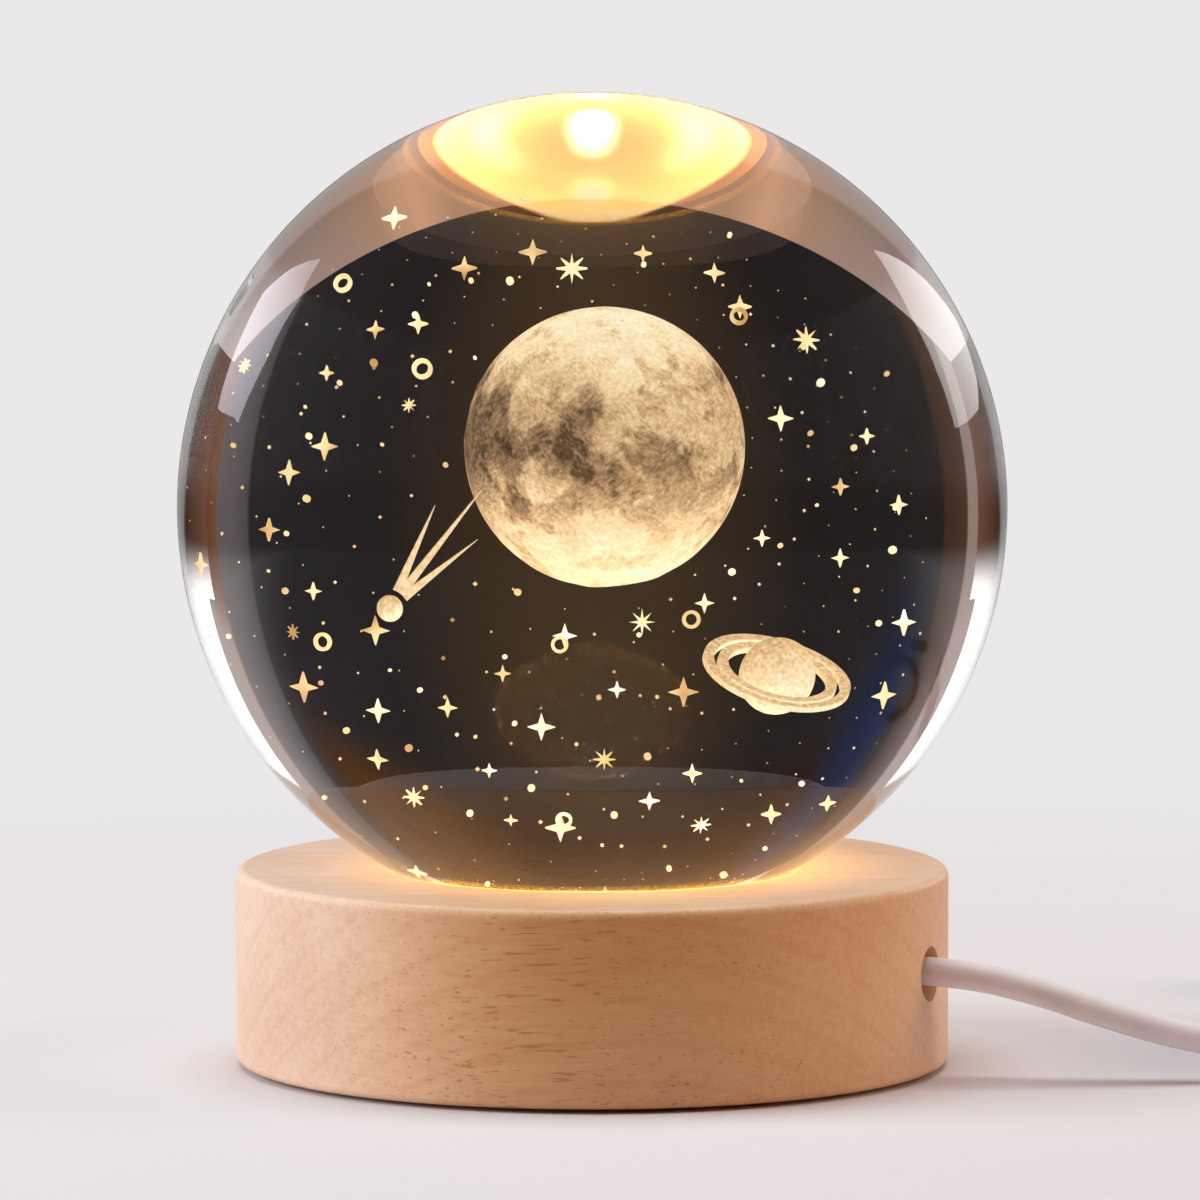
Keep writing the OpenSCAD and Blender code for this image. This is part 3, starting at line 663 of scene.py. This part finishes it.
# Studio
ALL_RAYS = ("camera", "diffuse", "glossy", "transmission", "shadow")
ONE_QUAD = [(0, 1, 2, 3)]
PALE = colour("#EAE8E9")
FLOOR_R = 6
LAMP_AIM = np.array([0, 0, 0.03])
STRIP_COLUMNS = 48


def stage_mesh(name, points, faces, material, rays):
    """A mesh that isn't part of the object: paper, a card or a lamp's face, seen by some kinds of ray."""
    piece = mesh_object(name, points, faces)
    dress(material, piece)
    for kind in ALL_RAYS:
        setattr(piece, "visible_" + kind, kind in rays)
    return piece


def level_square(reach, height):
    """The corners of a level square round the middle of the table, from half its side."""
    return [(reach * x, reach * y, height) for x, y in ((-1, -1), (1, -1), (1, 1), (-1, 1))]


def seen_ray(tree):
    """1 for rays that the camera sees, also by way of a gloss or through glass, and 0 for all others."""
    path = add(tree, "LightPath").outputs
    direct = largest(tree, path["Is Camera Ray"], path["Is Glossy Ray"])
    return largest(tree, direct, path["Is Transmission Ray"])


def backdrop_paper():
    """Matt pale paper: near the object it takes shadows, and further out it is the plain pale background."""
    material, tree = new_material("backdrop_paper")
    far = spread(tree, measure(tree, "LENGTH", object_place(tree)), 0.07, 0.26, smooth=True)
    matt = add(tree, "BsdfDiffuse", {"Color": colour("#E0D8D8")})
    finish_surface(tree, either(tree, times(tree, seen_ray(tree), far), matt, shine(tree, PALE)))
    return material


stage_mesh("floor", level_square(FLOOR_R, 0), ONE_QUAD, backdrop_paper(), ALL_RAYS)

# The air is pale where it is seen, and fills the shadows with a little warm light
world = bpy.data.worlds.new("studio")
scene.world = world
world.use_nodes = True
air = world.node_tree
air.nodes.clear()
fill = add(air, "Background", {"Color": colour("#FF6C3F"), "Strength": 0.16})
shown = add(air, "Background", {"Color": PALE, "Strength": 1.0})
add(air, "OutputWorld", {"Surface": either(air, seen_ray(air), fill, shown).outputs[0]})


def lamp(name, place, size, power, code):
    """A rectangular studio lamp that looks at the object and isn't itself seen in the glass."""
    light = bpy.data.lights.new(name, "AREA")
    light.shape = "RECTANGLE"
    light.size, light.size_y = size
    light.energy = power
    light.color = colour(code)[:3]
    holder = bpy.data.objects.new(name, light)
    scene.collection.objects.link(holder)
    holder.location = place
    way = LAMP_AIM - np.array(place)
    holder.rotation_euler = (math.atan2(math.hypot(way[0], way[1]), -way[2]), 0, math.atan2(-way[0], way[1]))
    holder.visible_glossy = False
    holder.visible_transmission = False


lamp("left_lamp", (-0.8, -0.07, 0.3), (0.55, 0.6), 7.8, "#ECFAFF")
lamp("right_lamp", (0.8, 0.05, 0.3), (0.5, 0.5), 3.2, "#FFE6C8")
lamp("top_lamp", (0, 0.1, 0.95), (0.9, 0.8), 7.9, "#DFF8FF")


def round_wall(reach, turns, lows, highs):
    """Points and faces of an upright curved strip round the object: at each turn in degrees from straight
    behind, a lowest and a highest point in metres, and straight lines between these."""
    count = STRIP_COLUMNS
    turn = np.linspace(turns[0], turns[-1], count)
    low, high = np.interp(turn, turns, lows), np.interp(turn, turns, highs)
    x, y = reach * np.sin(np.radians(turn)), reach * np.cos(np.radians(turn))
    points = np.vstack([np.stack([x, y, low], -1), np.stack([x, y, high], -1)])
    faces = [(k, k + 1, count + k + 1, count + k) for k in range(count - 1)]
    return points, faces


def softbox_cloth(code, strength):
    """White cloth over a lamp, a little dimmer towards its upper and lower edges."""
    material, tree = new_material("softbox_cloth")
    up = spread(tree, split(tree, object_place(tree))[2], 0.12, 0.46, -1.0)
    level = spread(tree, maths(tree, "POWER", up, 2.0), 0.0, 1.0, strength, 0.7 * strength)
    finish_surface(tree, shine(tree, colour(code), level))
    return material


# The faces of two tall softboxes, which stand behind the object to the left and right
SOFTBOX_REACH = 0.7
left_face = round_wall(
    SOFTBOX_REACH, (-62, -61, -57.5, -49, -46, -41, -37), (0.25, 0.17, 0.17, 0.15, 0.145, 0.235, 0.28),
    (0.31, 0.34, 0.44, 0.5, 0.455, 0.375, 0.285),
)
right_face = round_wall(
    SOFTBOX_REACH, (22, 29, 37, 41, 47, 52, 55.5, 57), (0.13, 0.115, 0.112, 0.12, 0.13, 0.14, 0.145, 0.15),
    (0.132, 0.245, 0.37, 0.43, 0.395, 0.345, 0.25, 0.152),
)
stage_mesh("left_softbox", *left_face, softbox_cloth("#F4F2FF", 2.8), ("glossy",))
stage_mesh("right_softbox", *right_face, softbox_cloth("#FFFCFA", 2.35), ("glossy",))


def warm_board():
    """Golden card that only rays from above meet, so that the table under it keeps its own light."""
    material, tree = new_material("golden_card")
    under = add(tree, "NewGeometry").outputs["Backfacing"]
    gold = shine(tree, colour("#FFBB38"), 0.5)
    finish_surface(tree, either(tree, under, gold, add(tree, "BsdfTransparent")))
    return material


# A golden card on the table in front, which warms the front of the wood
front_corners = [(x, y, 0.7 * MM) for x, y in ((-0.4, -0.55), (0.4, -0.55), (0.4, -0.06), (-0.4, -0.06))]
stage_mesh("front_board", front_corners, ONE_QUAD, warm_board(), ("diffuse",))

DOME_R = 1.3
DOME_ROWS = 25
DOME_COLUMNS = 96
DISC_HOLE = 45 * MM
DISC_HEIGHT = 0.6 * MM


def flag_dome():
    """Points and faces of a dome over the object, and of a disc on the table inside it, round the object."""
    rows = np.radians(np.linspace(0, 90, DOME_ROWS))[:, None]
    turn = np.radians(np.linspace(0, 360, DOME_COLUMNS, endpoint=False))[None, :]
    flat = np.ones_like(turn)
    ways = np.stack([np.cos(rows) * np.sin(turn), np.cos(rows) * np.cos(turn), np.sin(rows) * flat], -1)
    reach = DISC_HOLE + (DOME_R - DISC_HOLE) * (np.arange(DOME_ROWS - 1) / (DOME_ROWS - 2))[:, None] ** 2
    level = np.full((len(reach), DOME_COLUMNS), DISC_HEIGHT)
    disc = np.stack([reach * np.sin(turn), reach * np.cos(turn), level], -1)
    over, under = grid_faces(DOME_ROWS, DOME_COLUMNS), grid_faces(DOME_ROWS - 1, DOME_COLUMNS)
    faces = over.tolist() + (under + DOME_ROWS * DOME_COLUMNS).tolist()
    return np.vstack([DOME_R * ways.reshape(-1, 3), disc.reshape(-1, 3)]), faces


def turn_cosine(degrees):
    """The cosine of an angle in degrees."""
    return math.cos(math.radians(degrees))


def flag_cloth():
    """Black flag cloth round the object, which the glass reflects: open towards the backdrop, and thin on the
    table near the object, where the lit paper shows through."""
    material, tree = new_material("flag_cloth")
    place = object_place(tree)
    x, y, z = split(tree, place)
    reach = axis_distance(tree, x, y)
    ahead = maths(tree, "DIVIDE", y, reach)
    beside = spread(tree, ahead, turn_cosine(22), turn_cosine(30), smooth=True)
    out = spread(tree, reach, 0.2, 0.42, smooth=True)
    front = spread(tree, ahead, 0.45, -0.1, 0.0, 0.93, smooth=True)
    raised = maths(tree, "GREATER_THAN", z, 1 * MM)
    covered = largest(tree, largest(tree, out, front), raised)
    hung = times(tree, beside, covered)
    thin = times(tree, largest(tree, out, raised), 0.45)
    # Straight behind, a small round flag draws the ball's thin dark outline
    way = vectors(tree, "NORMALIZE", vectors(tree, "SUBTRACT", place, (0, 0, BALL_Z)))
    along = measure(tree, "DOT_PRODUCT", way, (0, 0.9953, -0.0971))
    straight = spread(tree, along, turn_cosine(13), turn_cosine(9))
    share = largest(tree, largest(tree, hung, thin), straight)
    finish_surface(tree, either(tree, share, add(tree, "BsdfTransparent"), shine(tree, colour("#2A2420"))))
    return material


stage_mesh("dark_flag", *flag_dome(), flag_cloth(), ("glossy",))

# Upright cards, a sheet of painted shade on the table, and two white boards, which are seen only through the
# crystal
CARD = 108 * MM
BACK_REACH = 124 * MM
CARD_FOOT = 0.5 * MM
SIDE_HEIGHT = 71 * MM
BOARD_LOW = 0.03
BOARD_HIGH = 0.93


def between(tree, value, low, high, top=1.0):
    """A smooth step from 0 at low to top at high, both in millimetres."""
    return spread(tree, value, low * MM, high * MM, 0.0, top, smooth=True)


def painted(name):
    """A card's material, its tree and the place on the card in three parts."""
    material, tree = new_material(name)
    return material, tree, split(tree, object_place(tree))


def back_paint():
    """The card behind: near-black in the middle with a brown haze, and grey and copper brown at its sides."""
    material, tree, spot = painted("painted_back_card")
    x, z = spot[0], spot[2]
    paint = ramp(tree, spread(tree, x, -BACK_REACH, BACK_REACH), (0.0, "#8A6A58"), (0.07, "#A08C84"),
                 (0.137, "#9E8A82"), (0.147, "#533A2A"), (0.24, "#442D22"), (0.247, "#27221F"),
                 (0.35, "#242021"), (0.5, "#1F1B18"), (0.65, "#272426"), (0.731, "#2C2829"),
                 (0.736, "#4E4B4B"), (0.78, "#625B5C"), (0.853, "#6B5F60"), (0.86, "#7E553A"),
                 (0.93, "#704830"), (0.94, "#6A4A3A"), (1.0, "#8E7266"))
    wide = maths(tree, "ABSOLUTE", x)
    haze = spread(tree, wide, 0.0, 22 * MM, 0.75, 0.0, smooth=True)
    paint = blend(tree, haze, paint, colour("#4A3824"))
    # Its upper part is brown, and darker in the middle and to the left. It shows upside down, low in the ball
    inside = spread(tree, wide, 40 * MM, 60 * MM, 1.0, 0.0, smooth=True)
    low_tone = blend(tree, between(tree, x, 6, 26), colour("#2E1500"), colour("#563208"))
    paint = blend(tree, times(tree, inside, between(tree, z, 72, 96)), paint, low_tone)
    # A blue patch at its upper left, which shows at the ball's lower right
    left = times(tree, x, -1.0)
    beside = times(tree, between(tree, left, 30, 46), between(tree, left, 62, 52, 0.75))
    paint = blend(tree, times(tree, beside, between(tree, z, 46, 84)), paint, colour("#162A50"))
    corners = times(tree, between(tree, wide, 86, 92), between(tree, z, 62, 84))
    paint = blend(tree, corners, paint, colour("#B39C93"))
    finish_surface(tree, shine(tree, paint))
    return material


def side_paint(pale_edge):
    """The cards at the sides and in front: dark brown, and copper brown towards the back corners. Only the
    low ones at the sides have a pale upper edge."""
    material, tree, spot = painted("painted_side_card")
    paint = ramp(tree, spread(tree, spot[1], 0.0, CARD), (0.0, "#1E1815"), (0.5, "#2E211B"), (0.7, "#563B2E"),
                 (0.85, "#6A4636"), (1.0, "#7A5240"))
    strength = 1.0
    if pale_edge:
        paint = blend(tree, between(tree, spot[2], 54, 70), paint, colour("#F8F2F0"))
        strength = spread(tree, spot[2], 58 * MM, SIDE_HEIGHT, 1.0, 2.0)
    finish_surface(tree, shine(tree, paint, strength))
    return material


def table_shade_paint():
    """The sheet on the table, painted shade of the table: warm mauve in the middle, paler towards its left
    and right edges, with a painted orange highlight about 26 mm to each side of the middle.
    """
    material, tree, spot = painted("painted_table_shade")
    place = spread(tree, maths(tree, "ABSOLUTE", spot[0]), 0.0, CARD)
    paint = ramp(tree, place, (0.0, "#A07A62"), (0.19, "#AA8267"), (0.24, "#CD9B79"), (0.32, "#B38B73"),
                 (0.42, "#A68B7E"), (0.52, "#A98F86"), (0.8, "#D6C6C2"), (1.0, "#E0D2CE"))
    finish_surface(tree, shine(tree, paint))
    return material


def white_board():
    """White board lit from the front: mauve grey low down, white in its middle, and wood brown high up."""
    material, tree, spot = painted("lit_white_board")
    up = spread(tree, spot[2], BOARD_LOW, BOARD_HIGH)
    paint = ramp(tree, up, (0.0, "#5E4336"), (0.085, "#7A675F"), (0.115, "#FFFFFF"), (0.44, "#FFFFFF"),
                 (0.46, "#8A6A50"), (1.0, "#6A4A34"))
    finish_surface(tree, shine(tree, paint, 1.85))
    return material


def card(name, turn, reach, height, material):
    """An upright card at the cards' distance, in a direction in degrees from straight behind."""
    a = math.radians(turn)
    ends = [(CARD * math.sin(a) - k * reach * math.cos(a), CARD * math.cos(a) + k * reach * math.sin(a))
            for k in (-1, 1)]
    points = [(*ends[0], CARD_FOOT), (*ends[1], CARD_FOOT), (*ends[1], height), (*ends[0], height)]
    stage_mesh(name, points, ONE_QUAD, material, ("transmission",))


sides = side_paint(True)
card("back_card", 0, BACK_REACH, 190 * MM, back_paint())
card("right_card", 90, CARD, SIDE_HEIGHT, sides)
card("left_card", 270, CARD, SIDE_HEIGHT, sides)
card("front_card", 180, CARD, 500 * MM, side_paint(False))
# Painted shade of the table, with a painted orange highlight, seen only through the crystal
stage_mesh("table_shade_sheet", level_square(CARD, CARD_FOOT), ONE_QUAD, table_shade_paint(), ("transmission",))

boards = white_board()
for side, name in ((-1, "left_board"), (1, "right_board")):
    strip = round_wall(0.5, (side * 44, side * 100), (BOARD_LOW, BOARD_LOW), (BOARD_HIGH, BOARD_HIGH))
    stage_mesh(name, *strip, boards, ("transmission",))
